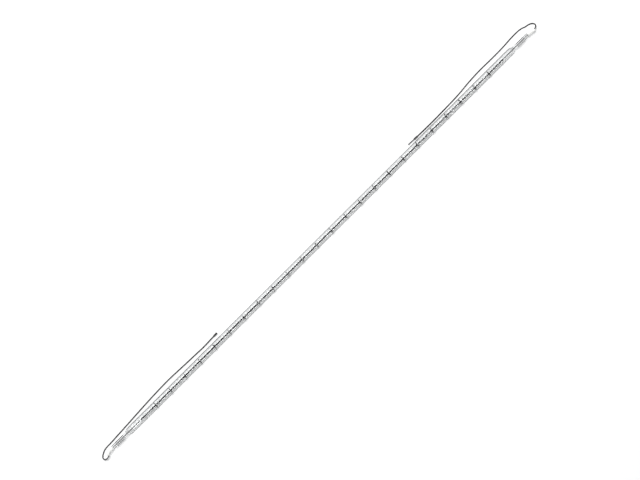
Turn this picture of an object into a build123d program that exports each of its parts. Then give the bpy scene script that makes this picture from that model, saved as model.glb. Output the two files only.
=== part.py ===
from build123d import *

import os
from math import radians, tan

# A linear quartz infrared lamp, lying level on a flat surface with its two flexible leads beside it.
# X runs along the tube, Z is up, and the origin is under the middle of the tube, on the surface.

# Quartz tube, in millimetres
TUBE_OD = 9.525
TUBE_WALL = 1.0
ROUND_HALF = 333.5  # half the length that is fully round
SHOULDER = 8.0
SEAL_LENGTH = 22.0
SEAL_THICK = 5.2  # across the two edge beads
SEAL_CORNER = 0.9
WEB_THICK = 2.8  # between the two pressed recesses
WEB_TALL = 5.6
RECESS_CORNER = 1.2
RECESS_START = 2.2  # from the shoulder to the recess
CAVITY_TAPER = 10.0
CAVITY_END_R = 0.9

# Filament and its supports
HEATED_LENGTH = 635.0
COIL_SHIFT = 2.2  # the filament sits this far towards the right seal
COIL_OD = 2.4
COIL_ID = 1.2
SUPPORT_COUNT = 24
SUPPORT_PITCH = 25.4
SUPPORT_WIRE = 0.45
SUPPORT_GAP = 0.1  # between a support's ring and the tube wall
SUPPORT_TURN = 75.0  # from one support to the next, in degrees
HUB_OD = 3.3
HUB_LENGTH = 1.0
RING_LENGTH = 0.9  # two turns of the wire side by side
RING_OPENING = 40.0  # the gap in a support's ring, in degrees

# Conductors through the seals
LEG_D = 1.2
LEG_IN_COIL = 6.0
LEG_IN_SEAL = 4.0
PIN_D = 1.0
PIN_OUT = 2.8  # beyond the seal's end face
FOIL_TALL = 2.8
FOIL_THICK = 0.08
FOIL_LENGTH = 14.0
FOIL_TURN = 25.0  # about the tube, from upright, in degrees
FOIL_LAP = 1.5  # each conductor is slit this far onto the foil

# Leads
LEAD_D = 1.3
BARREL_OD = 1.8
BARREL_START = 1.0  # from the seal's end face
BARREL_END = 4.6
SLEEVE_OD = 2.4
SLEEVE_ID = 1.9
SLEEVE_SHARE_LEFT = 0.5  # of the run after its last corner that a sleeve covers
SLEEVE_SHARE_RIGHT = 0.3
BAND_OD = 2.2
BAND_LENGTH = 5.5
TIP_D = 0.9
TIP_LENGTH = 10.0
FLOOR_GAP = 0.02
BEND_SHARE = 0.45  # of the shorter run beside a bend
CUT_PAST = 1.0  # how far a bore is cut past the piece it opens

# Worked out from the sizes above
AXIS_Z = TUBE_OD / 2
BORE_R = TUBE_OD / 2 - TUBE_WALL
SEAL_IN = ROUND_HALF + SHOULDER
SEAL_OUT = SEAL_IN + SEAL_LENGTH
FOIL_IN = SEAL_IN + LEG_IN_SEAL - FOIL_LAP
FOIL_OUT = FOIL_IN + FOIL_LENGTH
LOW = LEAD_D / 2 + FLOOR_GAP
RAISED = BAND_OD / 2 + FLOOR_GAP

# Each lead as (distance along X, Y, Z). It starts on the pin, makes a small loop beyond the seal, comes down
# to the surface and lies back along the tube to its free end.
LEFT_ROUTE = [
    (-SEAL_OUT - PIN_OUT, 0.0, AXIS_Z),
    (-SEAL_OUT - 9.7, 0.0, AXIS_Z),
    (-SEAL_OUT - 10.7, -4.5, 3.6),
    (-SEAL_OUT - 17.2, -4.7, 2.3),
    (-SEAL_OUT - 18.4, 0.25, 1.3),
    (-SEAL_OUT - 10.6, 4.85, LOW),
    (-368.5, 5.8, LOW),
    (-361.5, 5.8, LOW),
    (-350.5, 6.5, LOW),
    (-333.5, 7.4, LOW),
    (-309.0, 9.0, LOW),
    (-282.5, 10.4, LOW),
    (-257.0, 11.1, LOW),
    (-233.5, 10.1, LOW),
    (-213.0, 9.5, LOW),
    (-199.0, 8.9, LOW),
    (-186.5, 9.5, RAISED),
    (-174.5, 9.85, RAISED),
]
RIGHT_ROUTE = [
    (SEAL_OUT + PIN_OUT, 0.0, AXIS_Z),
    (SEAL_OUT + 6.2, 0.0, AXIS_Z),
    (SEAL_OUT + 9.6, -2.1, 3.9),
    (SEAL_OUT + 18.0, 1.3, 2.1),
    (SEAL_OUT + 16.6, 6.0, 1.1),
    (SEAL_OUT + 11.4, 8.6, LOW),
    (SEAL_OUT + 6.2, 9.2, LOW),
    (365.0, 11.3, LOW),
    (357.5, 12.1, LOW),
    (345.0, 11.9, LOW),
    (330.5, 10.8, LOW),
    (311.0, 10.6, LOW),
    (289.5, 11.1, LOW),
    (268.0, 10.1, LOW),
    (249.0, 8.0, LOW),
    (221.5, 7.3, LOW),
    (190.0, 6.9, RAISED),
    (159.5, 7.9, RAISED),
]


def across(x):
    """The plane across the tube at x, centred on the tube's axis, with its own x along Y."""
    return Plane(origin=(x, 0, AXIS_Z), x_dir=(0, 1, 0), z_dir=(1, 0, 0))


def bar(x0, x1, diameter):
    """A round bar on the tube's axis."""
    return extrude(across(x0) * Circle(diameter / 2), amount=x1 - x0)


def mirrored(shape):
    """The same piece at the left end."""
    return mirror(shape, about=Plane.YZ)


def seal_section():
    return RectangleRounded(SEAL_THICK, TUBE_OD, SEAL_CORNER)


def recess():
    """One pressed recess on the +Y side of the right seal. It runs out of the seal's end."""
    long = SEAL_LENGTH - RECESS_START + RECESS_CORNER
    middle = (SEAL_IN + RECESS_START + long / 2, WEB_THICK / 2, AXIS_Z)
    face = Plane(origin=middle, x_dir=(1, 0, 0), z_dir=(0, 1, 0))
    return extrude(face * RectangleRounded(long, WEB_TALL, RECESS_CORNER), amount=SEAL_THICK)


def quartz_end():
    """The right shoulder and seal, solid."""
    neck = loft([across(ROUND_HALF) * Circle(TUBE_OD / 2), across(SEAL_IN) * seal_section()])
    seal = extrude(across(SEAL_IN) * seal_section(), amount=SEAL_LENGTH)
    pressed = recess()
    return neck + (seal - pressed - mirror(pressed, about=Plane.XZ))


def cavity_end():
    """The cavity's taper into the right shoulder."""
    wide = across(SEAL_IN - CAVITY_TAPER) * Circle(BORE_R)
    return loft([wide, across(SEAL_IN) * Circle(CAVITY_END_R)])


def quartz_tube(held):
    """The whole envelope, with a close pocket for each conductor that it holds."""
    end = quartz_end()
    taper = cavity_end()
    bore_half = SEAL_IN - CAVITY_TAPER
    body = bar(-ROUND_HALF, ROUND_HALF, TUBE_OD) + end + mirrored(end)
    body = body - bar(-bore_half, bore_half, 2 * BORE_R) - taper - mirrored(taper)
    for piece in held:
        body = body - piece
    return body


def filament_coil():
    """The coil's outer shape, open down its middle."""
    start = COIL_SHIFT - HEATED_LENGTH / 2
    end = COIL_SHIFT + HEATED_LENGTH / 2
    return bar(start, end, COIL_OD) - bar(start, end, COIL_ID)


def coil_support(number):
    """A hub round the coil, one spoke, and an open ring just inside the tube wall."""
    x = COIL_SHIFT + (number - (SUPPORT_COUNT - 1) / 2) * SUPPORT_PITCH
    ring_r = BORE_R - SUPPORT_GAP
    ring = Circle(ring_r) - Circle(ring_r - SUPPORT_WIRE)
    half_gap = ring_r * tan(radians(RING_OPENING / 2))
    wedge = make_face(Polyline((0, 0), (-ring_r, half_gap), (-ring_r, -half_gap), close=True))
    spoke_start = COIL_OD / 2 + SUPPORT_WIRE / 2
    spoke_long = ring_r - SUPPORT_WIRE / 2 - spoke_start
    spoke = Pos(spoke_start + spoke_long / 2, 0) * Rectangle(spoke_long, SUPPORT_WIRE)
    turn = Rot(0, 0, number * SUPPORT_TURN)
    hub = Circle(HUB_OD / 2) - Circle(COIL_OD / 2)
    wire = extrude(across(x - RING_LENGTH / 2) * (turn * (ring - wedge)), amount=RING_LENGTH)
    wire = wire + extrude(across(x - SUPPORT_WIRE / 2) * (turn * spoke), amount=SUPPORT_WIRE)
    boss = extrude(across(x - HUB_LENGTH / 2) * hub, amount=HUB_LENGTH)
    return wire + boss - bar(x - HUB_LENGTH, x + HUB_LENGTH, COIL_OD)


def seal_foil():
    middle = (FOIL_IN + FOIL_LENGTH / 2, 0, AXIS_Z)
    return Pos(*middle) * Rot(FOIL_TURN, 0, 0) * Box(FOIL_LENGTH, FOIL_THICK, FOIL_TALL)


def coil_leg(coil_end):
    """The right leg, from inside a coil that ends at coil_end to the foil, slit for it."""
    return bar(coil_end - LEG_IN_COIL, FOIL_IN + FOIL_LAP, LEG_D) - seal_foil()


def outer_pin():
    return bar(FOIL_OUT - FOIL_LAP, SEAL_OUT + PIN_OUT, PIN_D) - seal_foil()


def crimp_barrel():
    """The barrel over the right pin's end and the lead's start."""
    barrel = bar(SEAL_OUT + BARREL_START, SEAL_OUT + BARREL_END, BARREL_OD)
    barrel = barrel - bar(SEAL_OUT, SEAL_OUT + PIN_OUT, PIN_D)
    return barrel - bar(SEAL_OUT + PIN_OUT, SEAL_OUT + BARREL_END + CUT_PAST, LEAD_D)


def bend_radii(points):
    """One radius for each corner, as large as the runs beside it allow."""
    at = [Vector(*p) for p in points]
    radii = []
    for before, corner, after in zip(at, at[1:], at[2:]):
        turn = (corner - before).get_angle(after - corner)
        shorter = min((corner - before).length, (after - corner).length)
        radii.append(BEND_SHARE * shorter / tan(radians(turn) / 2))
    return radii


def swept(path, section):
    """A section swept along a path, from the path's start."""
    start = Plane(origin=path @ 0, z_dir=path % 0)
    return sweep(start * section, path=path)


def tail_plane(points, back):
    """The plane across a lead's last run, back millimetres from its end, facing its free end."""
    end = Vector(*points[-1])
    along = (end - Vector(*points[-2])).normalized()
    return Plane(origin=end - along * back, z_dir=along)


def lead_wire(points, name):
    path = FilletPolyline(*points, radius=bend_radii(points))
    wire = swept(path, Circle(LEAD_D / 2))
    section = Circle(LEAD_D / 2).area
    tightest = ", ".join(f"{r:.1f}" for r in bend_radii(points))
    print(name, "length", round(path.length, 1), "radii", tightest)
    print(name, "volume", round(wire.volume, 2), "section x length", round(section * path.length, 2))
    return wire


def joint_sleeve(points, corners, share):
    """The sleeving over the crimp, from the seal's end face, round some corners and along part of a run."""
    start = (points[0][0] / abs(points[0][0]) * SEAL_OUT, 0, AXIS_Z)
    last, following = Vector(*points[corners]), Vector(*points[corners + 1])
    stop = last + (following - last) * share
    stretch = [start, *points[1 : corners + 1], tuple(stop)]
    path = FilletPolyline(*stretch, radius=bend_radii(points)[:corners])
    return swept(path, Circle(SLEEVE_OD / 2) - Circle(SLEEVE_ID / 2))


def strand_band(points, back):
    """A crimped band on a lead's last run, its outer end back millimetres from the route's end."""
    ring = Circle(BAND_OD / 2) - Circle(LEAD_D / 2)
    return extrude(tail_plane(points, back) * ring, amount=-BAND_LENGTH)


def bare_tip(points):
    """The tightly twisted tip of the right lead, past its band."""
    return extrude(tail_plane(points, TIP_LENGTH) * Circle(TIP_D / 2), amount=TIP_LENGTH)


def shortened(points, by):
    """The route with its last run shorter."""
    return [*points[:-1], tuple(tail_plane(points, by).origin)]


def main():
    coil_end = COIL_SHIFT + HEATED_LENGTH / 2
    nodes = {
        "filament_coil": filament_coil(),
        "seal_foil_right": seal_foil(),
        "seal_foil_left": mirrored(seal_foil()),
        "coil_leg_right": coil_leg(coil_end),
        "coil_leg_left": mirrored(coil_leg(coil_end - 2 * COIL_SHIFT)),
        "outer_pin_right": outer_pin(),
        "outer_pin_left": mirrored(outer_pin()),
        "crimp_barrel_right": crimp_barrel(),
        "crimp_barrel_left": mirrored(crimp_barrel()),
    }
    kinds = ("seal_foil", "coil_leg", "outer_pin")
    held = [nodes[f"{kind}_{end}"] for kind in kinds for end in ("left", "right")]
    nodes["quartz_tube"] = quartz_tube(held)
    for number in range(SUPPORT_COUNT):
        nodes[f"coil_support_{number + 1:02d}"] = coil_support(number)
    nodes["lead_wire_left"] = lead_wire(LEFT_ROUTE, "lead_wire_left")
    short_route = shortened(RIGHT_ROUTE, TIP_LENGTH)
    nodes["lead_wire_right"] = lead_wire(short_route, "lead_wire_right") + bare_tip(RIGHT_ROUTE)
    nodes["joint_sleeve_left"] = joint_sleeve(LEFT_ROUTE, 1, SLEEVE_SHARE_LEFT)
    nodes["joint_sleeve_right"] = joint_sleeve(RIGHT_ROUTE, 2, SLEEVE_SHARE_RIGHT)
    nodes["strand_band_left"] = strand_band(LEFT_ROUTE, 0.0)
    nodes["strand_band_right"] = strand_band(RIGHT_ROUTE, TIP_LENGTH)
    os.makedirs("parts", exist_ok=True)
    for name, shape in nodes.items():
        export_step(shape, f"parts/{name}.step")


main()
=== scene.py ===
import math

import bmesh
import bpy
import numpy as np
from mathutils import Matrix, Vector


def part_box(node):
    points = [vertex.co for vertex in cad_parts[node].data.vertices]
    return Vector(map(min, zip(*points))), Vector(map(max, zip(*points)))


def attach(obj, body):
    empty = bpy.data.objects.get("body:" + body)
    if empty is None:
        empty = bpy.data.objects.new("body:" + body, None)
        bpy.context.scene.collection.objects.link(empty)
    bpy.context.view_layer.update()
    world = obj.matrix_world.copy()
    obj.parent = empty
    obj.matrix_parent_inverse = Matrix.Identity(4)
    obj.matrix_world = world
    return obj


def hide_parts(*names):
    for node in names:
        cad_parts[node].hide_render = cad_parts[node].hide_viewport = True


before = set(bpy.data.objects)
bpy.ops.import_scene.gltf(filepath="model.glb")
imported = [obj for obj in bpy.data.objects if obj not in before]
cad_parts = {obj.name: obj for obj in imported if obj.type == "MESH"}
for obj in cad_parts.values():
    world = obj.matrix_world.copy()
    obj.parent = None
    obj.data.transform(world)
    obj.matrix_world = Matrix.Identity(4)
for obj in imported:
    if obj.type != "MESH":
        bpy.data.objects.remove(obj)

bl_info = {
    "name": "Tubular quartz infrared lamp",
    "version": (1, 0, 0),
    "blender": (4, 5, 0),
    "location": "3D View > Sidebar > Infrared lamp",
    "description": "Builds a slim quartz heat lamp with a supported coil, pressed seals and stranded leads",
    "category": "Add Mesh",
}

MM = 0.001
BODY = "root"
SUPPORT_NODES = [f"coil_support_{number + 1:02d}" for number in range(24)]

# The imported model's own boxes, which the defaults below start from
TUBE_LOW, TUBE_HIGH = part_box("quartz_tube")
COIL_LOW, COIL_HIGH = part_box("filament_coil")
SEAL_END = TUBE_HIGH.x
AXIS_Z = (TUBE_LOW.z + TUBE_HIGH.z) / 2
TUBE_RADIUS = (TUBE_HIGH.z - TUBE_LOW.z) / 2
PIN_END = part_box("outer_pin_right")[1].x

# Each lead's route, as distance along X, Y and Z in metres: from the pin round a small loop and back
# along the tube to the free end. Its run lies this high above the surface, and its crimped end that high.
RUN_Z = 0.00067
END_Z = 0.00112
LEFT_ROUTE = [
    (-PIN_END, 0.0, AXIS_Z),
    (-SEAL_END - 0.0097, 0.0, AXIS_Z),
    (-SEAL_END - 0.0107, -0.0045, 0.0036),
    (-SEAL_END - 0.0172, -0.0047, 0.0023),
    (-SEAL_END - 0.0184, 0.00025, 0.0013),
    (-SEAL_END - 0.0106, 0.00485, RUN_Z),
    (-0.3685, 0.0058, RUN_Z),
    (-0.3615, 0.0058, RUN_Z),
    (-0.3505, 0.0065, RUN_Z),
    (-0.3335, 0.0074, RUN_Z),
    (-0.3090, 0.0090, RUN_Z),
    (-0.2825, 0.0104, RUN_Z),
    (-0.2570, 0.0111, RUN_Z),
    (-0.2335, 0.0101, RUN_Z),
    (-0.2130, 0.0095, RUN_Z),
    (-0.1990, 0.0089, RUN_Z),
    (-0.1865, 0.0095, END_Z),
    (-0.1745, 0.00985, END_Z),
]
RIGHT_ROUTE = [
    (PIN_END, 0.0, AXIS_Z),
    (SEAL_END + 0.0062, 0.0, AXIS_Z),
    (SEAL_END + 0.0096, -0.0021, 0.0039),
    (SEAL_END + 0.0180, 0.0013, 0.0021),
    (SEAL_END + 0.0166, 0.0060, 0.0011),
    (SEAL_END + 0.0114, 0.0086, RUN_Z),
    (SEAL_END + 0.0062, 0.0092, RUN_Z),
    (0.3650, 0.0113, RUN_Z),
    (0.3575, 0.0121, RUN_Z),
    (0.3450, 0.0119, RUN_Z),
    (0.3305, 0.0108, RUN_Z),
    (0.3110, 0.0106, RUN_Z),
    (0.2895, 0.0111, RUN_Z),
    (0.2680, 0.0101, RUN_Z),
    (0.2490, 0.0080, RUN_Z),
    (0.2215, 0.0073, RUN_Z),
    (0.1900, 0.0069, END_Z),
    (0.1595, 0.0079, END_Z),
]
SLEEVE_REACH = {"left": 8.8 * MM, "right": 9.2 * MM}  # how much of a lead's line the sleeving covers
LEAD_LINES = {}  # filled by the leads' operator, for the pieces that follow a lead
CAMERA_OVER = Vector((-0.0028, 0.00126, 0.0))  # what the camera looks straight at


# ---------------------------------------------------------------- settings

def length_setting(name, description, metres):
    return bpy.props.FloatProperty(name=name, description=description, default=metres, min=0.0,
                                   precision=5, subtype="DISTANCE", unit="LENGTH")


def angle_setting(name, description, degrees):
    return bpy.props.FloatProperty(name=name, description=description, default=math.radians(degrees),
                                   subtype="ANGLE", unit="ROTATION")


def colour_setting(name, description, colour):
    return bpy.props.FloatVectorProperty(name=name, description=description, default=colour, size=3,
                                         min=0.0, max=1.0, subtype="COLOR")


class EnvelopeSizes(bpy.types.PropertyGroup):
    wall: length_setting("Wall", "Thickness of the quartz tube's wall", 1.0 * MM)
    shoulder: length_setting("Shoulder", "Length over which the round tube turns into a seal", 8.0 * MM)
    seal_length: length_setting("Seal length", "Length of each pressed seal", 22.0 * MM)
    seal_thick: length_setting("Seal thickness", "Across a seal's two edge beads", 5.2 * MM)
    web_thick: length_setting("Web thickness", "Between a seal's two pressed recesses", 2.8 * MM)
    web_tall: length_setting("Web height", "Height of a pressed recess", 5.6 * MM)
    seal_corner: length_setting("Seal corner", "Rounding of a seal's section", 0.9 * MM)
    recess_gap: length_setting("Recess gap", "From a shoulder to its recess", 2.2 * MM)
    recess_corner: length_setting("Recess corner", "Rounding of a recess's outline", 1.2 * MM)
    taper: length_setting("Taper", "Length over which the bore narrows into a seal", 10.0 * MM)
    bore_end: length_setting("Bore end", "Radius of the bore where it meets a seal", 0.9 * MM)
    foil_thick: length_setting("Foil thickness", "Across the middle of a seal's foil", 0.08 * MM)
    foil_tall: length_setting("Foil width", "Width of a seal's foil", 2.8 * MM)
    foil_turn: angle_setting("Foil turn", "How far a foil is turned about the tube, from upright", 25.0)
    tint: colour_setting("Quartz tint", "What the clear quartz passes at each surface", (0.965, 0.968, 0.968))


class FilamentSizes(bpy.types.PropertyGroup):
    wire: length_setting("Coil wire", "Diameter of the coiled wire", 0.60 * MM)
    pitch: length_setting("Coil pitch", "From one turn of the coil to the next", 0.78 * MM)
    support_wire: length_setting("Support wire", "Diameter of a support's wire", 0.45 * MM)
    hub_length: length_setting("Hub length", "Length of a support's windings round the coil", 1.15 * MM)
    ring_length: length_setting("Ring length", "Length of a support's two turns at the wall", 0.9 * MM)
    support_pitch: length_setting("Support pitch", "From one support to the next", 25.4 * MM)
    support_count: bpy.props.IntProperty(name="Supports", description="Number of supports along the coil",
                                         default=len(SUPPORT_NODES), min=1)
    support_turn: angle_setting("Support turn", "Turn about the tube from one support to the next", 75.0)
    colour: colour_setting("Tungsten colour", "Colour of the drawn tungsten wire", (0.055, 0.055, 0.058))


class LeadSizes(bpy.types.PropertyGroup):
    diameter: length_setting("Lead diameter", "Across the twisted strands", 1.3 * MM)
    lay: length_setting("Lay", "Length of one full twist of the strands", 11.0 * MM)
    tip_diameter: length_setting("Tip diameter", "Across the tightly twisted bare tip", 0.9 * MM)
    tip_length: length_setting("Tip length", "Length of the bare tip past its band", 10.0 * MM)
    band_diameter: length_setting("Band diameter", "Outside diameter of a crimped band", 2.2 * MM)
    band_length: length_setting("Band length", "Length of a crimped band", 5.5 * MM)
    sleeve_diameter: length_setting("Sleeve diameter", "Outside diameter of the braided sleeving", 2.4 * MM)
    colour: colour_setting("Strand colour", "Colour of the darkened strands", (0.008, 0.008, 0.009))
    sleeve_colour: colour_setting("Sleeving colour", "Colour of the glass fibre", (0.90, 0.90, 0.87))


class StageSizes(bpy.types.PropertyGroup):
    view_width: length_setting("View width", "Width of floor that the camera takes in", 0.7947)
    view_height: length_setting("Camera distance", "From the camera to the middle of the lamp", 2.4)
    tilt: angle_setting("Tilt", "How far the camera leans towards the left end", 4.4)
    roll: angle_setting("Roll", "How far the lamp rises from left to right in the view", 44.86)
    floor_colour: colour_setting("Floor colour", "Colour of the plain floor", (0.86, 0.86, 0.86))
    room_colour: colour_setting("Room light", "Soft light from all round", (0.34, 0.345, 0.35))
    backdrop_colour: colour_setting("Backdrop", "What the camera sees past the floor", (0.93, 0.93, 0.93))


# ---------------------------------------------------------------- node trees

class Term:
    """One output socket. Arithmetic on it adds Math nodes."""

    def __init__(self, graph, socket):
        self.graph, self.socket = graph, socket

    def of(self, name):
        """Another output of the same node."""
        return Term(self.graph, self.socket.node.outputs[name])

    def __add__(self, other):
        return self.graph.maths("ADD", self, other)

    def __sub__(self, other):
        return self.graph.maths("SUBTRACT", self, other)

    def __rsub__(self, other):
        return self.graph.maths("SUBTRACT", other, self)

    def __mul__(self, other):
        return self.graph.maths("MULTIPLY", self, other)

    def __truediv__(self, other):
        return self.graph.maths("DIVIDE", self, other)

    def __pow__(self, other):
        return self.graph.maths("POWER", self, other)

    __radd__, __rmul__ = __add__, __mul__


class Graph:
    """A shader or geometry tree that is being put together."""

    def __init__(self, tree):
        self.tree = tree

    def node(self, kind, settings=None, values=None, out=0):
        """Adds a node. Its settings are set first, and then each socket's value or link, by name or place."""
        node = self.tree.nodes.new(kind)
        for name, value in (settings or {}).items():
            setattr(node, name, value)
        for name, value in (values or {}).items():
            socket = node.inputs[name]
            if isinstance(value, Term):
                self.tree.links.new(value.socket, socket)
            elif socket.type == "RGBA" and len(value) == 3:
                socket.default_value = (*value, 1.0)
            else:
                socket.default_value = value
        return Term(self, node.outputs[out] if len(node.outputs) else None)

    def maths(self, operation, *terms):
        return self.node("ShaderNodeMath", {"operation": operation}, dict(enumerate(terms)))

    def vectors(self, operation, a, b):
        """A Vector Math node. SCALE takes a number as its second term."""
        return self.node("ShaderNodeVectorMath", {"operation": operation},
                         {0: a, ("Scale" if operation == "SCALE" else 1): b})

    def around(self, turn):
        """The direction across a curve at this turn about it."""
        tangent = self.node("GeometryNodeInputTangent")
        side = self.vectors("CROSS_PRODUCT", tangent, (0.0, 0.0, 1.0))
        side = self.node("ShaderNodeVectorMath", {"operation": "NORMALIZE"}, {0: side})
        rise = self.vectors("CROSS_PRODUCT", side, tangent)
        return self.vectors("ADD", self.vectors("SCALE", side, self.maths("COSINE", turn)),
                            self.vectors("SCALE", rise, self.maths("SINE", turn)))

    def smooth(self, value, start, end):
        """From 0 to 1 as value goes from start to end, easing at both."""
        settings = {"interpolation_type": "SMOOTHSTEP"}
        return self.node("ShaderNodeMapRange", settings, {"Value": value, "From Min": start, "From Max": end})

    def mix_colour(self, factor, a, b):
        return self.node("ShaderNodeMix", {"data_type": "RGBA"}, {0: factor, 6: a, 7: b}, out=2)

    def mix_shader(self, factor, a, b):
        return self.node("ShaderNodeMixShader", {}, {0: factor, 1: a, 2: b})

    def vector(self, x=0.0, y=0.0, z=0.0):
        return self.node("ShaderNodeCombineXYZ", {}, {"X": x, "Y": y, "Z": z})

    def noise(self, where, scale, detail=3.0, roughness=0.55):
        return self.node("ShaderNodeTexNoise", {}, {"Vector": where, "Scale": scale, "Detail": detail,
                                                    "Roughness": roughness})

    def bump(self, height, strength, distance):
        return self.node("ShaderNodeBump", {}, {"Height": height, "Strength": strength, "Distance": distance})

    def stretched(self, scale):
        """Object coordinates, scaled along each axis."""
        where = self.node("ShaderNodeTexCoord").of("Object")
        return self.node("ShaderNodeMapping", {}, {"Vector": where, "Scale": scale})


def new_material(name):
    """An empty material, its graph and the socket that its surface goes to."""
    material = bpy.data.materials.new(name)
    material.use_nodes = True
    material.node_tree.nodes.clear()
    graph = Graph(material.node_tree)
    output = material.node_tree.nodes.new("ShaderNodeOutputMaterial")
    return material, graph, output.inputs["Surface"]


def finished(graph, surface, shader):
    graph.tree.links.new(shader.socket, surface)


def metal(name, colour, worn, roughness, grain=(1.0, 1.0, 1.0), grain_scale=900.0, metallic=1.0):
    """Drawn or rolled metal: colour and gloss change in soft patches, over a fine grain along one axis."""
    material, g, surface = new_material(name)
    patches = g.smooth(g.noise(g.stretched((1.0, 1.0, 1.0)), 160.0, 4.0), 0.38, 0.66)
    lines = g.noise(g.stretched(grain), grain_scale, 5.0)
    shade = g.maths("MULTIPLY_ADD", lines, 0.5, patches * 0.5)
    low, high = roughness
    shader = g.node("ShaderNodeBsdfPrincipled", {}, {
        "Base Color": g.mix_colour(shade, colour, worn),
        "Metallic": metallic,
        "Roughness": g.maths("MULTIPLY_ADD", patches, high - low, low),
        "Normal": g.bump(lines, 0.35, 0.00004),
    })
    finished(g, surface, shader)
    return material


def quartz_material(tint):
    """Clear quartz: draw lines along the tube, ripples on the pressed ends and painted shade that darkens the
    rims, mostly on the outside.
    """
    material, g, surface = new_material("clear_quartz")
    split = g.node("ShaderNodeSeparateXYZ", {}, {"Vector": g.node("ShaderNodeTexCoord").of("Object")})
    pressed = g.smooth(g.maths("ABSOLUTE", split.of("X")), SEAL_END - 31 * MM, SEAL_END - 20 * MM)
    lines = g.noise(g.stretched((0.03, 1.0, 1.0)), 700.0, 2.0)
    ripples = g.noise(g.stretched((1.0, 0.6, 0.6)), 420.0, 3.0)
    height = lines * 0.02 + ripples * pressed * 0.35
    normal = g.bump(height, 0.3, 0.0002)
    glass = g.node("ShaderNodeBsdfGlass", {}, {"Color": tint, "Roughness": 0.01, "IOR": 1.458,
                                               "Normal": normal})
    # Painted shade: towards the tube's edges, mostly on its outer surface and fading again right at the
    # grazing edge, the clear glass gives way to a nearly black gloss, so the rims read dark.
    rim = g.node("ShaderNodeLayerWeight", {}, {"Blend": 0.5, "Normal": normal}).of("Facing")
    high = split.of("Z") - AXIS_Z
    from_axis = g.maths("SQRT", split.of("Y") * split.of("Y") + high * high)
    outside = g.maths("GREATER_THAN", from_axis, TUBE_RADIUS - 0.4 * MM)
    edge = g.maths("MINIMUM", rim ** 2.0 * g.maths("MULTIPLY_ADD", outside, 1.9, 0.1), 0.96)
    edge = edge * (1.0 - g.smooth(rim, 0.76, 0.88))
    # The nearly black gloss that paints the shade on the rims.
    painted_rim_shade = g.node("ShaderNodeBsdfGlossy", {}, {"Color": (0.05, 0.05, 0.052), "Roughness": 0.1,
                                                 "Normal": normal})
    seen = g.mix_shader(edge, glass, painted_rim_shade)
    path = g.node("ShaderNodeLightPath")
    clear = g.node("ShaderNodeBsdfTransparent", {}, {"Color": (0.98, 0.98, 0.98)})
    in_light = g.mix_shader(path.of("Is Diffuse Ray"), seen, clear)
    finished(g, surface, g.mix_shader(path.of("Is Shadow Ray"), in_light, clear))
    return material


def sleeving_material(colour):
    """White glass fibre yarn: fine fibres, a faint grey that varies with the fibre pattern and in soft
    patches, and a soft sheen.
    """
    material, g, surface = new_material("white_glass_fibre")
    fibres = g.noise(g.stretched((0.35, 1.0, 1.0)), 5200.0, 4.0)
    patches = g.smooth(g.noise(g.stretched((1.0, 1.0, 1.0)), 260.0, 3.0), 0.35, 0.7)
    greyer_tone = tuple(0.86 * share for share in colour)
    shader = g.node("ShaderNodeBsdfPrincipled", {}, {
        "Base Color": g.mix_colour(g.maths("MULTIPLY_ADD", fibres, 0.4, patches * 0.3), colour, greyer_tone),
        "Roughness": g.maths("MULTIPLY_ADD", patches, 0.12, 0.74),
        "Sheen Weight": 0.25,
        "Sheen Roughness": 0.4,
        "Normal": g.bump(fibres, 0.4, 0.00003),
    })
    finished(g, surface, shader)
    return material


def floor_material(colour):
    material, g, surface = new_material("pale_floor")
    grain = g.noise(g.stretched((1.0, 1.0, 1.0)), 40.0, 3.0)
    paler = tuple(min(1.0, share * 1.01) for share in colour)
    shader = g.node("ShaderNodeBsdfPrincipled", {}, {
        "Base Color": g.mix_colour(grain, colour, paler),
        "Roughness": g.maths("MULTIPLY_ADD", grain, 0.05, 0.85),
        "Specular IOR Level": 0.1,
    })
    finished(g, surface, shader)
    return material


# ---------------------------------------------------------------- geometry trees and meshes

def geometry_graph(name, inputs):
    """A geometry tree with these named inputs. Returns it, its graph and a function that gives an input."""
    tree = bpy.data.node_groups.new(name, "GeometryNodeTree")
    tree.interface.new_socket("Geometry", in_out="INPUT", socket_type="NodeSocketGeometry")
    tree.interface.new_socket("Geometry", in_out="OUTPUT", socket_type="NodeSocketGeometry")
    for label, kind in inputs.items():
        tree.interface.new_socket(label, in_out="INPUT", socket_type=f"NodeSocket{kind}")
    graph = Graph(tree)
    return tree, graph, graph.node("NodeGroupInput").of


def close_tree(graph, geometry, material):
    """Ends a tree in Realize Instances and Set Material."""
    real = graph.node("GeometryNodeRealizeInstances", {}, {"Geometry": geometry})
    painted = graph.node("GeometryNodeSetMaterial", {}, {"Geometry": real, "Material": material})
    output = graph.tree.nodes.new("NodeGroupOutput")
    graph.tree.links.new(painted.socket, output.inputs[0])


def run_tree(name, tree, base, values):
    """Runs a tree on a base mesh, and returns what it makes as a new plain mesh object."""
    worker = bpy.data.objects.new(name + "_base", base)
    bpy.context.scene.collection.objects.link(worker)
    modifier = worker.modifiers.new("Build", "NODES")
    modifier.node_group = tree
    for item in tree.interface.items_tree:
        if item.in_out == "INPUT" and item.name in values:
            modifier[item.identifier] = values[item.name]
    evaluated = worker.evaluated_get(bpy.context.evaluated_depsgraph_get())
    mesh = bpy.data.meshes.new_from_object(evaluated)
    bpy.data.objects.remove(worker)
    bpy.data.meshes.remove(base)
    return placed(name, mesh)


def placed(name, mesh, material=None, sharp=40.0):
    """A smooth-shaded object for a mesh, at the origin."""
    mesh.name = name
    if material is not None:
        mesh.materials.append(material)
    mesh.polygons.foreach_set("use_smooth", [True] * len(mesh.polygons))
    mesh.set_sharp_from_angle(angle=math.radians(sharp))
    made = bpy.data.objects.new(name, mesh)
    bpy.context.scene.collection.objects.link(made)
    return made


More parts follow.
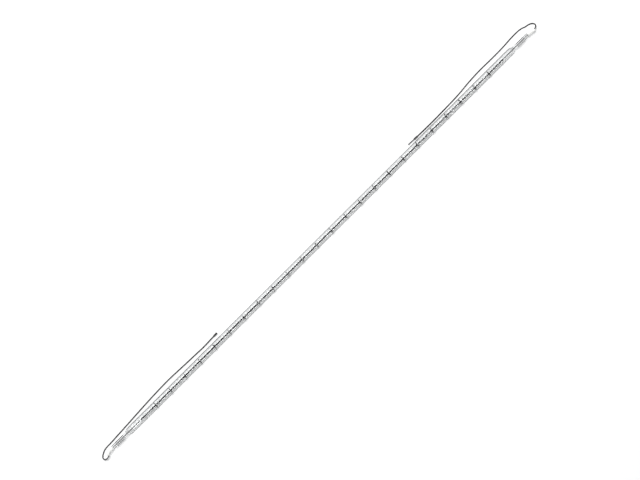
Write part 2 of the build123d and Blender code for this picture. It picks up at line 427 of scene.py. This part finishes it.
def fitted(made, slot, *nodes):
    """The piece rides on the lamp and stands for these parts of it."""
    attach(made, BODY)
    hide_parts(*nodes)
    return made


def line_mesh(points):
    """An open line of edges."""
    mesh = bpy.data.meshes.new("line")
    steps = [(number, number + 1) for number in range(len(points) - 1)]
    mesh.from_pydata([tuple(p) for p in points], steps, [])
    return mesh


def skin(rings):
    """Vertices and faces over rings of points that run along +X and turn from +Y to +Z, facing outwards."""
    count = len(rings[0])
    points = [tuple(p) for ring in rings for p in ring]
    faces = []
    for row in range(len(rings) - 1):
        for n in range(count):
            m = (n + 1) % count
            faces.append((row * count + n, row * count + m, (row + 1) * count + m, (row + 1) * count + n))
    faces.append(tuple(range(count - 1, -1, -1)))
    faces.append(tuple((len(rings) - 1) * count + n for n in range(count)))
    return points, faces


def mesh_of(points, faces):
    mesh = bpy.data.meshes.new("piece")
    mesh.from_pydata(points, [], faces)
    mesh.validate()
    return mesh


def turned_ring(x, tall, wide, count):
    """One oval ring across the tube's axis at x."""
    turns = [2 * math.pi * n / count for n in range(count)]
    return [(x, wide * math.cos(a), AXIS_Z + tall * math.sin(a)) for a in turns]


def ease(share):
    share = min(1.0, max(0.0, share))
    return share * share * (3 - 2 * share)


def mixed(a, b, share):
    return a + (b - a) * share


# ---------------------------------------------------------------- leads

def route_line(name, route):
    """Points along the smooth line of a lead's route."""
    curve = bpy.data.curves.new(name, "CURVE")
    curve.dimensions = "3D"
    spline = curve.splines.new("NURBS")
    spline.points.add(len(route) - 1)
    for point, place in zip(spline.points, route):
        point.co = (*place, 1.0)
    spline.order_u = 3
    spline.use_endpoint_u = True
    curve.resolution_u = 24
    holder = bpy.data.objects.new(name, curve)
    bpy.context.scene.collection.objects.link(holder)
    mesh = bpy.data.meshes.new_from_object(holder.evaluated_get(bpy.context.evaluated_depsgraph_get()))
    points = np.array([v.co for v in mesh.vertices])
    bpy.data.objects.remove(holder)
    bpy.data.meshes.remove(mesh)
    return points


def distances(points):
    """How far along a line each of its points is."""
    return np.concatenate([[0.0], np.cumsum(np.linalg.norm(np.diff(points, axis=0), axis=1))])


def stretch(points, start, end):
    """The part of a line between two distances along it."""
    far = distances(points)
    inside = points[(far > start + 1e-6) & (far < end - 1e-6)]
    ends = [np.array([np.interp(at, far, points[:, axis]) for axis in range(3)]) for at in (start, end)]
    return np.array([ends[0], *inside, ends[1]])


def strand_tree():
    """Strands laid side by side round a line, twisted together and drawn in past a given distance."""
    inputs = {"Strands": "Int", "Lay": "Float", "Strand Radius": "Float", "Lay Radius": "Float",
              "Taper Start": "Float", "Taper End": "Float", "Taper Share": "Float", "Step": "Float",
              "Sides": "Int", "Material": "Material"}
    tree, g, given = geometry_graph("twisted_strands", inputs)
    curve = g.node("GeometryNodeMeshToCurve", {}, {"Mesh": given("Geometry")})
    curve = g.node("GeometryNodeResampleCurve", {"mode": "LENGTH"}, {"Curve": curve, "Length": given("Step")})
    copies = g.node("GeometryNodeDuplicateElements", {"domain": "SPLINE"},
                    {"Geometry": curve, "Amount": given("Strands")})
    number = copies.of("Duplicate Index")
    far = g.node("GeometryNodeSplineParameter").of("Length")
    taper = g.smooth(far, given("Taper Start"), given("Taper End"))
    share = g.maths("MULTIPLY_ADD", taper, given("Taper Share") - 1.0, 1.0)
    turn = (far / given("Lay") + number / given("Strands")) * (2 * math.pi)
    offset = g.vectors("SCALE", g.around(turn), given("Lay Radius") * share)
    laid = g.node("GeometryNodeSetPosition", {}, {"Geometry": copies, "Offset": offset})
    core = g.node("GeometryNodeJoinGeometry", {}, {})
    g.tree.links.new(curve.socket, core.socket.node.inputs[0])
    g.tree.links.new(laid.socket, core.socket.node.inputs[0])
    sized = g.node("GeometryNodeSetCurveRadius", {}, {"Curve": core, "Radius": share})
    section = g.node("GeometryNodeCurvePrimitiveCircle", {}, {"Resolution": given("Sides"),
                                                              "Radius": given("Strand Radius")})
    solid = g.node("GeometryNodeCurveToMesh", {}, {"Curve": sized, "Profile Curve": section,
                                                   "Fill Caps": True})
    close_tree(g, solid, given("Material"))
    return tree


def braid_tree():
    """Flat yarns wound both ways round a line, each passing over and under those that it crosses."""
    inputs = {"Yarns": "Int", "Lay": "Float", "Radius": "Float", "Yarn Width": "Float",
              "Yarn Thickness": "Float", "Wave": "Float", "Step": "Float", "Lining Radius": "Float",
              "Material": "Material"}
    tree, g, given = geometry_graph("braided_sleeving", inputs)
    curve = g.node("GeometryNodeMeshToCurve", {}, {"Mesh": given("Geometry")})
    curve = g.node("GeometryNodeResampleCurve", {"mode": "LENGTH"}, {"Curve": curve, "Length": given("Step")})
    joined = g.node("GeometryNodeJoinGeometry", {}, {})
    for way in (1.0, -1.0):
        copies = g.node("GeometryNodeDuplicateElements", {"domain": "SPLINE"},
                        {"Geometry": curve, "Amount": given("Yarns")})
        far = g.node("GeometryNodeSplineParameter").of("Length")
        place = copies.of("Duplicate Index") / given("Yarns")
        turn = (far / given("Lay") * way + place) * (2 * math.pi)
        wave = g.maths("COSINE", far / given("Lay") * given("Yarns") * (2 * math.pi))
        radius = given("Radius") + wave * given("Wave") * way
        out = g.around(turn)
        offset = g.vectors("SCALE", out, radius)
        kept = g.node("GeometryNodeStoreNamedAttribute", {"data_type": "FLOAT_VECTOR", "domain": "POINT"},
                      {"Geometry": copies, "Name": "outward", 3: out})
        laid = g.node("GeometryNodeSetPosition", {}, {"Geometry": kept, "Offset": offset})
        facing = g.node("GeometryNodeInputNamedAttribute", {"data_type": "FLOAT_VECTOR"},
                        {"Name": "outward"})
        laid = g.node("GeometryNodeSetCurveNormal", {"mode": "FREE"}, {"Curve": laid, "Normal": facing})
        section = g.node("GeometryNodeCurvePrimitiveCircle", {}, {"Resolution": 8, "Radius": 1.0})
        flat = g.vector(given("Yarn Thickness"), given("Yarn Width"), 1.0)
        section = g.node("GeometryNodeTransform", {}, {"Geometry": section, "Scale": flat})
        yarn = g.node("GeometryNodeCurveToMesh", {}, {"Curve": laid, "Profile Curve": section,
                                                      "Fill Caps": True})
        g.tree.links.new(yarn.socket, joined.socket.node.inputs[0])
    ring = g.node("GeometryNodeCurvePrimitiveCircle", {}, {"Resolution": 24,
                                                           "Radius": given("Lining Radius")})
    lining = g.node("GeometryNodeCurveToMesh", {}, {"Curve": curve, "Profile Curve": ring, "Fill Caps": True})
    g.tree.links.new(lining.socket, joined.socket.node.inputs[0])
    close_tree(g, joined, given("Material"))
    return tree


class LAMP_OT_leads(bpy.types.Operator):
    """Makes the two stranded leads"""
    bl_idname = "lamp.leads"
    bl_label = "Leads"

    def execute(self, context):
        sizes = context.scene.lamp_leads
        dark = metal("darkened_strands", sizes.colour, (0.022, 0.020, 0.019), (0.55, 0.72),
                     grain=(1.0, 1.0, 1.0), grain_scale=2600.0, metallic=0.5)
        tree = strand_tree()
        strand = sizes.diameter / 3
        for end, route in (("left", LEFT_ROUTE), ("right", RIGHT_ROUTE)):
            line = route_line(f"lead_route_{end}", route)
            total = distances(line)[-1]
            tip_share = sizes.tip_diameter / sizes.diameter if end == "right" else 1.0
            band_back = sizes.tip_length if end == "right" else 0.0
            taper_end = total - band_back
            made = run_tree(f"lead_{end}", tree, line_mesh(line), {
                "Strands": 6, "Lay": sizes.lay, "Strand Radius": strand / 2, "Lay Radius": strand,
                "Taper Start": taper_end - sizes.band_length / 2, "Taper End": taper_end,
                "Taper Share": tip_share, "Step": 0.5 * MM, "Sides": 8, "Material": dark,
            })
            fitted(made, "lead_strand", f"lead_wire_{end}")
            LEAD_LINES[end] = line
        return {"FINISHED"}


class LAMP_OT_sleeves(bpy.types.Operator):
    """Makes the braided sleeving over each lead's crimped joint"""
    bl_idname = "lamp.sleeves"
    bl_label = "Braided sleeves"

    def execute(self, context):
        sizes = context.scene.lamp_leads
        white = sleeving_material(sizes.sleeve_colour)
        tree = braid_tree()
        thick = 0.075 * MM
        for end, line in LEAD_LINES.items():
            way = math.copysign(1.0, line[0][0])
            reach = SLEEVE_REACH[end]
            covered = np.array([(way * SEAL_END, 0.0, AXIS_Z), *stretch(line, 0.0, reach)])
            made = run_tree(f"joint_sleeve_{end}_braid", tree, line_mesh(covered), {
                "Yarns": 8, "Lay": 7.5 * MM, "Radius": sizes.sleeve_diameter / 2 - 1.9 * thick,
                "Yarn Width": 0.27 * MM, "Yarn Thickness": thick, "Wave": 0.9 * thick, "Step": 0.14 * MM,
                "Lining Radius": sizes.sleeve_diameter / 2 - 3.6 * thick, "Material": white,
            })
            fitted(made, "glass_fibre_sleeving", f"joint_sleeve_{end}")
        return {"FINISHED"}


def crimped_sleeve(length, outer, inner, dents, dent_depth, seam):
    """A rolled metal sleeve along +X from the origin, with a seam and crimped rings of dents."""
    around, soft = 48, 0.12 * MM
    profile = [(0.0, inner), (0.0, outer - soft), (soft * 0.3, outer - soft * 0.3), (soft, outer)]
    steps = max(8, round(length / (0.22 * MM)))
    profile += [(soft + (length - 2 * soft) * n / steps, outer) for n in range(1, steps)]
    profile += [(length - soft, outer), (length - soft * 0.3, outer - soft * 0.3), (length, outer - soft),
                (length, inner)]
    points, faces = [], []
    for x, radius in profile:
        for n in range(around):
            turn = 2 * math.pi * n / around
            r = radius
            if radius > inner:
                for centre in dents:
                    near = ease(1 - abs(x - centre * length) / (0.55 * MM))
                    r -= dent_depth * near * ease(abs(math.cos(1.5 * turn)) * 1.6 - 0.5)
                r -= seam * ease(1 - abs(turn - math.pi) / 0.22)
            points.append((x, r * math.cos(turn), r * math.sin(turn)))
    rows = len(profile)
    for row in range(rows):
        after = (row + 1) % rows
        for n in range(around):
            m = (n + 1) % around
            faces.append((row * around + n, row * around + m, after * around + m, after * around + n))
    return np.array(points), faces


def laid_along(points, start, way):
    """Points made along +X, moved to start and turned to face along way."""
    way = np.array(way) / np.linalg.norm(way)
    side = np.cross((0.0, 0.0, 1.0), way)
    side /= np.linalg.norm(side)
    rise = np.cross(way, side)
    return np.array(start) + points[:, :1] * way + points[:, 1:2] * side + points[:, 2:3] * rise


class LAMP_OT_crimps(bpy.types.Operator):
    """Makes the crimp barrels inside the sleeves and the bands at the leads' free ends"""
    bl_idname = "lamp.crimps"
    bl_label = "Barrels and bands"

    def execute(self, context):
        sizes = context.scene.lamp_leads
        barrel_metal = metal("crimped_nickel", (0.52, 0.50, 0.46), (0.36, 0.34, 0.31), (0.3, 0.45),
                             grain=(0.05, 1.0, 1.0), grain_scale=1500.0)
        band_metal = metal("rolled_band", (0.13, 0.13, 0.125), (0.08, 0.08, 0.078), (0.36, 0.5),
                           grain=(0.05, 1.0, 1.0), grain_scale=1500.0)
        for end, line in LEAD_LINES.items():
            way = math.copysign(1.0, line[0][0])
            low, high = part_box(f"crimp_barrel_{end}")
            points, faces = crimped_sleeve(high.x - low.x, (high.z - low.z) / 2, sizes.diameter / 2,
                                           (0.28, 0.72), 0.16 * MM, 0.08 * MM)
            near = low.x if way > 0 else high.x
            points = laid_along(points, (near, 0.0, AXIS_Z), (way, 0.0, 0.0))
            made = placed(f"crimp_barrel_{end}_crimped", mesh_of(points.tolist(), faces), barrel_metal)
            fitted(made, "nickel", f"crimp_barrel_{end}")
            back = sizes.tip_length if end == "right" else 0.0
            total = distances(line)[-1]
            run = stretch(line, total - back - sizes.band_length, total - back)
            points, faces = crimped_sleeve(sizes.band_length, sizes.band_diameter / 2,
                                           sizes.diameter / 2 - 0.02 * MM,
                                           (0.3, 0.7), 0.14 * MM, 0.07 * MM)
            points = laid_along(points, run[0], run[-1] - run[0])
            made = placed(f"strand_band_{end}_crimped", mesh_of(points.tolist(), faces), band_metal)
            fitted(made, "crimp_band", f"strand_band_{end}")
        return {"FINISHED"}


# ---------------------------------------------------------------- quartz envelope

def seal_edge(turn, half_thick, half_tall, corner):
    """Where a ray at this turn from the axis leaves a seal's rounded section."""
    c, s = abs(math.cos(turn)), abs(math.sin(turn))
    out = min(half_thick / max(c, 1e-9), half_tall / max(s, 1e-9))
    y, z = half_thick - corner, half_tall - corner
    if out * c > y and out * s > z:
        middle = c * y + s * z
        out = middle + math.sqrt(max(0.0, middle * middle - (y * y + z * z - corner * corner)))
    return out * math.cos(turn), out * math.sin(turn)


def pressed_share(x, z, start, half_tall, corner, draft):
    """How far into a pressed recess a point is, from 0 outside to 1 on its floor."""
    dx, dz = start + corner - x, abs(z) - (half_tall - corner)
    if dx > 0 and dz > 0:
        inside = corner - math.hypot(dx, dz)
    else:
        inside = min(x - start, half_tall - abs(z))
    return ease(inside / draft)


class LAMP_OT_envelope(bpy.types.Operator):
    """Makes the quartz tube with its two pressed seals, hollow between them"""
    bl_idname = "lamp.envelope"
    bl_label = "Quartz envelope"

    def execute(self, context):
        sizes = context.scene.lamp_envelope
        radius = TUBE_RADIUS
        half_thick, half_web = sizes.seal_thick / 2, sizes.web_thick / 2
        half_recess = sizes.web_tall / 2
        seal_in = SEAL_END - sizes.seal_length
        round_end = seal_in - sizes.shoulder
        recess_start = seal_in + sizes.recess_gap
        draft, burnt = 0.45 * MM, 0.35 * MM
        quarter = [math.atan2(half_recess + step * MM, half_thick)
                   for step in (-0.5, -0.36, -0.24, -0.12, 0.0, 0.12)]
        turns = {round(2 * math.pi * n / 96, 6) for n in range(96)}
        for turn in quarter:
            turns |= {round(t, 6) for t in (turn, math.pi - turn, math.pi + turn, 2 * math.pi - turn)}
        turns = sorted(turns)

        def ring(x):
            share = ease((abs(x) - round_end) / sizes.shoulder)
            inset = max(0.0, abs(x) - (SEAL_END - burnt)) / burnt
            shrink = 1 - (1 - math.sqrt(max(0.0, 1 - inset * inset))) * burnt / radius
            points = []
            for turn in turns:
                y0, z0 = radius * math.cos(turn), radius * math.sin(turn)
                y1, z1 = seal_edge(turn, half_thick, radius, sizes.seal_corner)
                y, z = mixed(y0, y1, share), mixed(z0, z1, share)
                deep = pressed_share(abs(x), z, recess_start, half_recess, sizes.recess_corner, draft)
                if share >= 1 and deep > 0:
                    y -= math.copysign((half_thick - half_web) * deep, y)
                points.append((x, y * shrink, AXIS_Z + z * shrink))
            return points

        half = [round_end * n / 24 for n in range(24)]
        half += [mixed(round_end, seal_in, n / 18) for n in range(18)]
        half += [seal_in + step * MM for step in (0.0, 0.7, 1.4, 1.9)]
        half += [recess_start + step * MM for step in (0.0, 0.1, 0.2, 0.3, 0.45, 0.6, 0.8, 1.0, 1.2)]
        flat_start, flat_end = recess_start + 1.8 * MM, SEAL_END - burnt
        half += [mixed(flat_start, flat_end, n / 24) for n in range(25)]
        half += [SEAL_END - burnt * (1 - share) for share in (0.35, 0.65, 0.85, 0.97, 1.0)]
        places = [-x for x in reversed(half[1:])] + half
        points, faces = skin([ring(x) for x in places])

        bore = radius - sizes.wall
        bore_half, end_radius = seal_in - sizes.taper, sizes.bore_end
        bore_rings = [(bore_half * n / 24, bore) for n in range(24)]
        for n in range(21):
            share = n / 20
            bore_rings.append((bore_half + sizes.taper * share, mixed(bore, end_radius, ease(share))))
        for n in range(1, 6):
            turn = math.pi / 2 * n / 6
            bore_rings.append((seal_in + 0.4 * MM * math.sin(turn), end_radius * math.cos(turn)))
        bore_places = [(-x, r) for x, r in reversed(bore_rings[1:])] + bore_rings
        inner_points, inner_faces = skin([turned_ring(x, r, r, 64) for x, r in bore_places])
        offset = len(points)
        points += inner_points
        faces += [tuple(offset + n for n in reversed(face)) for face in inner_faces]
        made = placed("quartz_envelope", mesh_of(points, faces), quartz_material(sizes.tint), sharp=50.0)
        fitted(made, "quartz", "quartz_tube")
        return {"FINISHED"}


# ---------------------------------------------------------------- filament, supports and conductors

def coil_tree():
    """One long helix of wire along X."""
    inputs = {"Turns": "Float", "Steps": "Int", "Radius": "Float", "Length": "Float", "Wire": "Float",
              "Place": "Vector", "Material": "Material"}
    tree, g, given = geometry_graph("coiled_filament", inputs)
    helix = g.node("GeometryNodeCurveSpiral", {}, {
        "Resolution": given("Steps"), "Rotations": given("Turns"), "Start Radius": given("Radius"),
        "End Radius": given("Radius"), "Height": given("Length")})
    helix = g.node("GeometryNodeTransform", {}, {"Geometry": helix, "Translation": given("Place"),
                                                 "Rotation": (0.0, math.pi / 2, 0.0)})
    section = g.node("GeometryNodeCurvePrimitiveCircle", {}, {"Resolution": 6, "Radius": given("Wire")})
    wire = g.node("GeometryNodeCurveToMesh", {}, {"Curve": helix, "Profile Curve": section,
                                                  "Fill Caps": True})
    close_tree(g, wire, given("Material"))
    return tree


def support_tree():
    """Wire wound round the coil, led out and bent into an open ring, then repeated along the tube."""
    inputs = {"Count": "Int", "Pitch": "Float", "Turn": "Float", "Start": "Vector", "Wire": "Float",
              "Hub Radius": "Float", "Hub Length": "Float", "Ring Radius": "Float", "Ring Length": "Float",
              "Material": "Material"}
    tree, g, given = geometry_graph("wire_supports", inputs)
    steps = 110
    hub_end, out_start, out_end, ring_start = 0.32, 0.30, 0.40, 0.38
    hub_turns, ring_turns = 2.25, 1.88
    line = g.node("GeometryNodeMeshLine", {}, {"Count": steps, "Offset": (0.001, 0.0, 0.0)})
    share = g.node("GeometryNodeInputIndex") / (steps - 1.0)
    wound = g.maths("MINIMUM", share / hub_end, 1.0)
    led = g.smooth(share, out_start, out_end)
    opened = g.maths("MAXIMUM", (share - ring_start) / (1.0 - ring_start), 0.0)
    turn = (wound * hub_turns + opened * ring_turns) * (2 * math.pi)
    radius = given("Hub Radius") + led * (given("Ring Radius") - given("Hub Radius"))
    along = (wound - 0.5) * given("Hub Length") * (1.0 - led) + (opened - 0.5) * given("Ring Length") * led
    place = g.vector(along, radius * g.maths("COSINE", turn), radius * g.maths("SINE", turn))
    bent = g.node("GeometryNodeSetPosition", {}, {"Geometry": line, "Position": place})
    curve = g.node("GeometryNodeMeshToCurve", {}, {"Mesh": bent})
    section = g.node("GeometryNodeCurvePrimitiveCircle", {}, {"Resolution": 8, "Radius": given("Wire")})
    wire = g.node("GeometryNodeCurveToMesh", {}, {"Curve": curve, "Profile Curve": section,
                                                  "Fill Caps": True})
    row = g.node("GeometryNodeMeshLine", {}, {"Count": given("Count"), "Start Location": given("Start"),
                                              "Offset": g.vector(x=given("Pitch"))})
    lean = g.node("FunctionNodeRandomValue", {"data_type": "FLOAT"}, {2: -0.10, 3: 0.10, "Seed": 7}, out=1)
    number = g.node("GeometryNodeInputIndex")
    spin = g.vector(number * given("Turn"), 0.0, lean)
    copies = g.node("GeometryNodeInstanceOnPoints", {}, {"Points": row, "Instance": wire, "Rotation": spin})
    close_tree(g, copies, given("Material"))
    return tree


class LAMP_OT_filament(bpy.types.Operator):
    """Makes the coiled filament"""
    bl_idname = "lamp.filament"
    bl_label = "Filament coil"

    def execute(self, context):
        sizes = context.scene.lamp_filament
        length = COIL_HIGH.x - COIL_LOW.x
        radius = (COIL_HIGH.z - COIL_LOW.z - sizes.wire) / 2
        dark = metal("tungsten_coil", sizes.colour, (0.085, 0.085, 0.09), (0.40, 0.55), grain_scale=1400.0)
        made = run_tree("filament_helix", coil_tree(), bpy.data.meshes.new("base"), {
            "Turns": length / sizes.pitch, "Steps": 12, "Radius": radius,
            "Length": length - sizes.wire, "Wire": sizes.wire / 2,
            "Place": (COIL_LOW.x + sizes.wire / 2, 0.0, AXIS_Z), "Material": dark,
        })
        fitted(made, "tungsten", "filament_coil")
        return {"FINISHED"}


class LAMP_OT_supports(bpy.types.Operator):
    """Makes the wire supports that hold the coil in the middle of the tube"""
    bl_idname = "lamp.supports"
    bl_label = "Coil supports"

    def execute(self, context):
        sizes = context.scene.lamp_filament
        low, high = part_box(SUPPORT_NODES[0])
        ring_radius = max(high.z - AXIS_Z, AXIS_Z - low.z) - sizes.support_wire / 2
        coil_radius = (COIL_HIGH.z - COIL_LOW.z) / 2
        bright = metal("support_tungsten", (0.045, 0.045, 0.048), (0.03, 0.03, 0.032), (0.30, 0.45),
                       grain_scale=1400.0)
        made = run_tree("wire_supports", support_tree(), bpy.data.meshes.new("base"), {
            "Count": sizes.support_count, "Pitch": sizes.support_pitch, "Turn": sizes.support_turn,
            "Start": ((low.x + high.x) / 2, 0.0, AXIS_Z), "Wire": sizes.support_wire / 2,
            "Hub Radius": coil_radius + sizes.support_wire / 2, "Hub Length": sizes.hub_length,
            "Ring Radius": ring_radius, "Ring Length": sizes.ring_length - sizes.support_wire,
            "Material": bright,
        })
        fitted(made, "support_wire", *SUPPORT_NODES)
        return {"FINISHED"}


def rod(x0, x1, radius, flat_end, flat_from):
    """A rod on the axis from x0, where it is rounded, to x1, where it is flattened for a foil."""
    rings = []
    for n in range(7):
        turn = math.pi / 2 * (n + 0.4) / 6.4
        rings.append((x0 + radius * 0.7 * (1 - math.cos(turn)) * math.copysign(1, x1 - x0),
                      radius * math.sin(turn), radius * math.sin(turn)))
    for n in range(1, 10):
        rings.append((mixed(x0, flat_from, n / 9), radius, radius))
    for n in range(1, 13):
        share = ease(n / 9)
        rings.append((mixed(flat_from, x1, n / 12), mixed(radius, radius * 1.25, share),
                      mixed(radius, flat_end / 2, share)))
    rings.append((x1, 0.3 * radius * 1.25, 0.6 * flat_end / 2))
    if x1 < x0:
        rings.reverse()
    return skin([turned_ring(x, tall, wide, 24) for x, tall, wide in rings])


class LAMP_OT_conductors(bpy.types.Operator):
    """Makes the coil's legs and the outer pins, flattened where they meet the foils"""
    bl_idname = "lamp.conductors"
    bl_label = "Legs and pins"

    def execute(self, context):
        leg_metal = metal("tungsten_leg", (0.050, 0.050, 0.055), (0.085, 0.085, 0.09), (0.38, 0.52),
                          grain=(0.04, 1.0, 1.0), grain_scale=1800.0)
        pin_metal = metal("molybdenum_pin", (0.12, 0.12, 0.125), (0.08, 0.08, 0.085), (0.32, 0.46),
                          grain=(0.04, 1.0, 1.0), grain_scale=1800.0)
        for end in ("left", "right"):
            for kind, material, slot in (("coil_leg", leg_metal, "tungsten_leg"),
                                         ("outer_pin", pin_metal, "molybdenum_pin")):
                low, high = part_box(f"{kind}_{end}")
                radius = (high.z - low.z) / 2
                outward = (end == "right") == (kind == "coil_leg")
                x0, x1 = (low.x, high.x) if outward else (high.x, low.x)
                flat_from = x1 + math.copysign(2.6 * MM, x0 - x1)
                points, faces = rod(x0, x1, radius, 0.34 * MM, flat_from)
                made = placed(f"{kind}_{end}_rod", mesh_of(points, faces), material)
                fitted(made, slot, f"{kind}_{end}")
        return {"FINISHED"}


class LAMP_OT_foils(bpy.types.Operator):
    """Makes the thin molybdenum foils in the seals"""
    bl_idname = "lamp.foils"
    bl_label = "Seal foils"

    def execute(self, context):
        sizes = context.scene.lamp_envelope
        satin = metal("molybdenum_foil", (0.045, 0.045, 0.048), (0.03, 0.03, 0.032), (0.32, 0.46),
                      grain=(1.0, 1.0, 0.05), grain_scale=2400.0)
        across, along = 10, 56
        for end in ("left", "right"):
            low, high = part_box(f"seal_foil_{end}")
            thick, half_tall = sizes.foil_thick / 2, sizes.foil_tall / 2
            c, s = math.cos(sizes.foil_turn), math.sin(sizes.foil_turn)
            rings = []
            for n in range(along + 1):
                x = mixed(low.x, high.x, n / along)
                wave = 0.012 * MM * math.sin(2 * math.pi * n / 7)
                shape = []
                for side in (1, -1):
                    for m in range(across):
                        z = half_tall * math.cos(math.pi * m / across) * side
                        lens = wave - side * (thick * (1 - (z / half_tall) ** 2) + 0.004 * MM)
                        shape.append((x, lens * c - z * s, AXIS_Z + lens * s + z * c))
                rings.append(shape)
            points, faces = skin(rings)
            mesh = mesh_of(points, faces)
            shell = bmesh.new()
            shell.from_mesh(mesh)
            bmesh.ops.recalc_face_normals(shell, faces=shell.faces)
            shell.to_mesh(mesh)
            shell.free()
            fitted(placed(f"seal_foil_{end}_rolled", mesh, satin), "molybdenum_foil", f"seal_foil_{end}")
        return {"FINISHED"}


# ---------------------------------------------------------------- stage

class LAMP_OT_stage(bpy.types.Operator):
    """Sets up the camera, the plain floor and the soft studio light"""
    bl_idname = "lamp.stage"
    bl_label = "Studio stage"

    def execute(self, context):
        sizes = context.scene.lamp_stage
        scene = context.scene
        data = bpy.data.cameras.new("camera")
        data.sensor_width = 36.0
        data.lens = data.sensor_width * sizes.view_height / sizes.view_width
        data.clip_start, data.clip_end = 0.05, 50.0
        camera = bpy.data.objects.new("camera", data)
        scene.collection.objects.link(camera)
        turn = Matrix.Rotation(-sizes.tilt, 3, "Y") @ Matrix.Rotation(-sizes.roll, 3, "Z")
        camera.location = CAMERA_OVER + turn @ Vector((0.0, 0.0, sizes.view_height))
        camera.rotation_euler = turn.to_euler()
        scene.camera = camera
        scene.view_settings.view_transform = "Standard"

        floor_half, below = 12.0, 0.00005
        mesh = bpy.data.meshes.new("floor")
        mesh.from_pydata([(-floor_half, -floor_half, -below), (floor_half, -floor_half, -below),
                          (floor_half, floor_half, -below), (-floor_half, floor_half, -below)], [],
                         [(0, 1, 2, 3)])
        mesh.materials.append(floor_material(sizes.floor_colour))
        floor = bpy.data.objects.new("floor", mesh)
        scene.collection.objects.link(floor)

        world = bpy.data.worlds.new("studio")
        world.use_nodes = True
        world.node_tree.nodes.clear()
        g = Graph(world.node_tree)
        seen = g.node("ShaderNodeLightPath").of("Is Camera Ray")
        colour = g.mix_colour(seen, sizes.room_colour, sizes.backdrop_colour)
        room = g.node("ShaderNodeBackground", {}, {"Color": colour, "Strength": 1.0})
        output = world.node_tree.nodes.new("ShaderNodeOutputWorld")
        world.node_tree.links.new(room.socket, output.inputs["Surface"])
        scene.world = world
        soft_light("key_light", (0.10, 1.30, 2.20), 1.5, 79.0).visible_glossy = False
        soft_light("fill_light", (0.60, -1.90, 1.70), 1.8, 9.0)
        return {"FINISHED"}


def soft_light(name, place, size, power):
    """A square softbox that faces the middle of the lamp."""
    data = bpy.data.lights.new(name, "AREA")
    data.shape, data.size, data.energy = "SQUARE", size, power
    light = bpy.data.objects.new(name, data)
    bpy.context.scene.collection.objects.link(light)
    light.location = place
    light.rotation_euler = (-Vector(place)).to_track_quat("-Z", "Y").to_euler()
    light.visible_camera = False
    return light


# ---------------------------------------------------------------- panel and registration

STEPS = [LAMP_OT_stage, LAMP_OT_leads, LAMP_OT_sleeves, LAMP_OT_crimps, LAMP_OT_envelope,
         LAMP_OT_filament, LAMP_OT_supports, LAMP_OT_conductors, LAMP_OT_foils]
SETTINGS = {"lamp_envelope": EnvelopeSizes, "lamp_filament": FilamentSizes, "lamp_leads": LeadSizes,
            "lamp_stage": StageSizes}


class LAMP_PT_panel(bpy.types.Panel):
    """Lists the lamp's sizes, colours and pieces"""
    bl_idname = "LAMP_PT_panel"
    bl_label = "Infrared lamp"
    bl_space_type = "VIEW_3D"
    bl_region_type = "UI"
    bl_category = "Infrared lamp"

    def draw(self, context):
        for name, group in SETTINGS.items():
            box = self.layout.box()
            for setting in group.__annotations__:
                box.prop(getattr(context.scene, name), setting)
        for step in STEPS:
            self.layout.operator(step.bl_idname)


def register():
    for group in SETTINGS.values():
        bpy.utils.register_class(group)
    for step in STEPS:
        bpy.utils.register_class(step)
    bpy.utils.register_class(LAMP_PT_panel)
    for name, group in SETTINGS.items():
        setattr(bpy.types.Scene, name, bpy.props.PointerProperty(type=group))


def unregister():
    for name in SETTINGS:
        delattr(bpy.types.Scene, name)
    for made in [LAMP_PT_panel, *STEPS, *SETTINGS.values()]:
        bpy.utils.unregister_class(made)


def main():
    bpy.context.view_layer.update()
    register()
    for step in STEPS:
        group, operator = step.bl_idname.split(".")
        getattr(getattr(bpy.ops, group), operator)()


if __name__ == "__main__":
    main()
